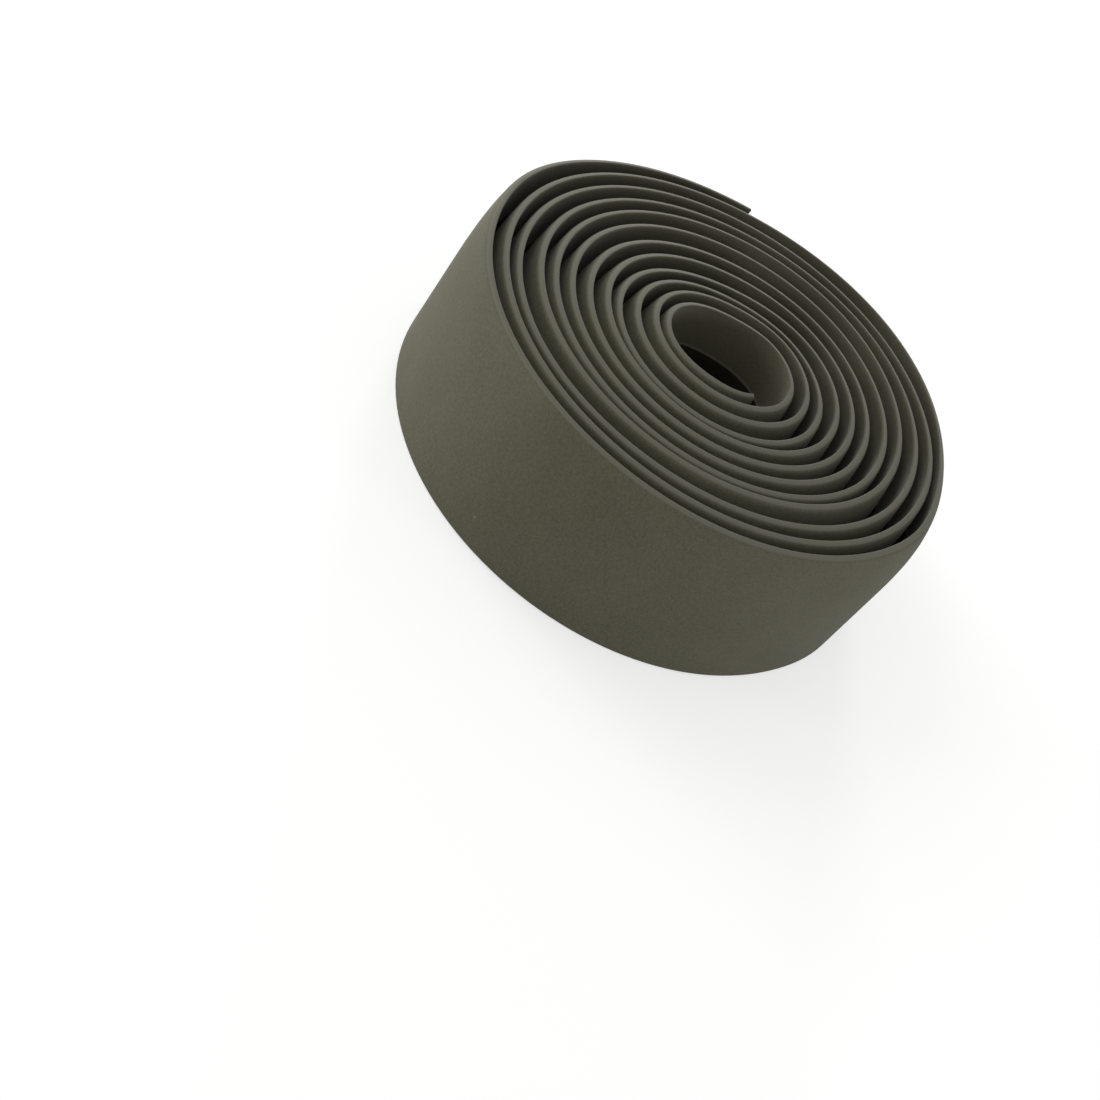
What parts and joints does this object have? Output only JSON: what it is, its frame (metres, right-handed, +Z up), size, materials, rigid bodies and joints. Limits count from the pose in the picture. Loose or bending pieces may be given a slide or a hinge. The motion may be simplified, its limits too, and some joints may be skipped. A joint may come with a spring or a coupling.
{
  "type": "handlebar tape roll",
  "caption": "Long strip of padded foam-rubber handlebar tape wound into a flat coil, thick along its middle and thin at its edges, with a small oval hole in the coil.",
  "frame": {"origin": "middle of the roll's outline seen from above, in the flat plane of the edges it stands on", "axes": "+Z up along the roll's axis; +X towards the side where the tape's outer end lies"},
  "size_m": [0.0884, 0.089, 0.03],
  "materials": {
    "foam_rubber": "matt, very fine grain"
  },
  "bodies": {
    "root": {"wound_tape": "foam_rubber"}
  },
  "joints": []
}
